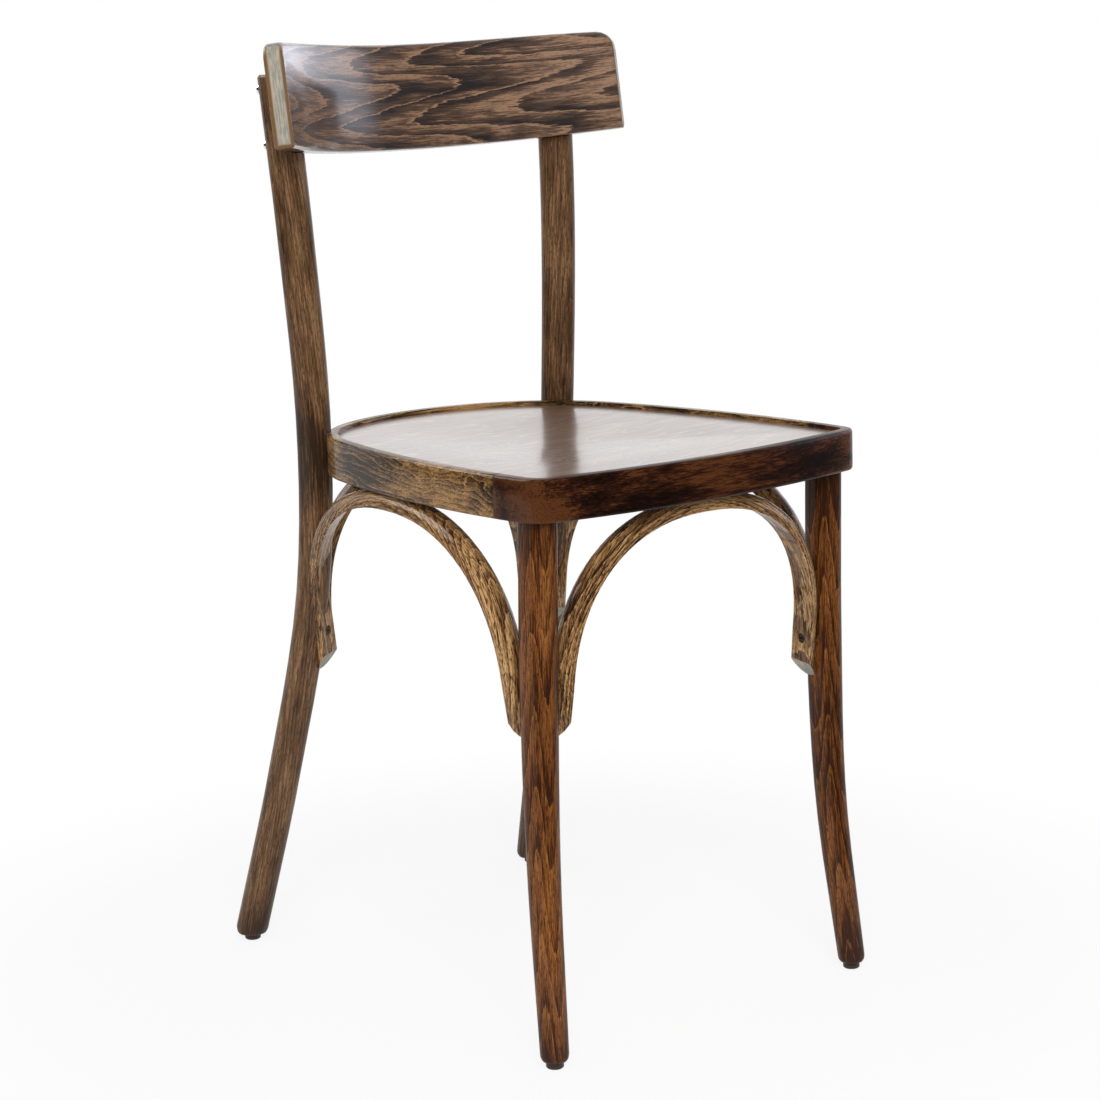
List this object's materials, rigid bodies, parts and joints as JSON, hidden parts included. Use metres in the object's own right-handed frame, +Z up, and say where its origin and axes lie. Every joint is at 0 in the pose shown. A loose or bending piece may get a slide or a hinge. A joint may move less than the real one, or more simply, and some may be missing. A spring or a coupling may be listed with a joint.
{
  "type": "side chair",
  "caption": "Bentwood side chair with a curved wooden back board on bent posts, a rounded wooden seat in a bent frame, and arched braces under it.",
  "frame": {"origin": "on the floor, under the centre of the chair's box", "axes": "+X to the chair's right as seen from its front, +Y from the front of the seat to the back board, +Z up"},
  "size_m": [0.3746, 0.4688, 0.7911],
  "materials": {
    "frame_wood": "dark walnut stain under satin lacquer",
    "leg_wood": "reddish brown stain under satin lacquer",
    "brace_wood": "tan brown stain under satin lacquer",
    "panel_wood": "brown stain under gloss lacquer",
    "board_wood": "mid brown figured veneer under satin lacquer",
    "pin_wood": "raw beech",
    "chrome": "polished",
    "dark_steel": "dark, satin",
    "glide_plastic": "dark brown, satin"
  },
  "bodies": {
    "root": {"seat_front_rail": "frame_wood", "seat_hoop": "frame_wood", "frame_dowel_left_outer": "pin_wood", "frame_dowel_left_inner": "pin_wood", "frame_dowel_right_outer": "pin_wood", "frame_dowel_right_inner": "pin_wood", "seat_panel": "panel_wood", "back_board": "board_wood", "front_leg_left": "leg_wood", "front_leg_right": "leg_wood", "rear_post_left": "leg_wood", "rear_post_right": "leg_wood", "front_brace": "brace_wood", "rear_brace": "brace_wood", "left_brace": "brace_wood", "right_brace": "brace_wood", "front_brace_screw_left": "dark_steel", "front_brace_screw_right": "dark_steel", "front_brace_screw_crown": "dark_steel", "rear_brace_screw_left": "dark_steel", "rear_brace_screw_right": "dark_steel", "rear_brace_screw_crown": "dark_steel", "left_brace_screw_front": "dark_steel", "left_brace_screw_rear": "dark_steel", "left_brace_screw_crown": "dark_steel", "right_brace_screw_front": "dark_steel", "right_brace_screw_rear": "dark_steel", "right_brace_screw_crown": "dark_steel", "board_screw_left_lower": "chrome", "board_screw_left_upper": "chrome", "post_bolt_left": "dark_steel", "post_washer_left": "dark_steel", "board_screw_right_lower": "chrome", "board_screw_right_upper": "chrome", "post_bolt_right": "dark_steel", "post_washer_right": "dark_steel", "glide_front_left": "glide_plastic", "glide_nail_front_left": "dark_steel", "glide_front_right": "glide_plastic", "glide_nail_front_right": "dark_steel", "glide_rear_left": "glide_plastic", "glide_nail_rear_left": "dark_steel", "glide_rear_right": "glide_plastic", "glide_nail_rear_right": "dark_steel"}
  },
  "joints": []
}
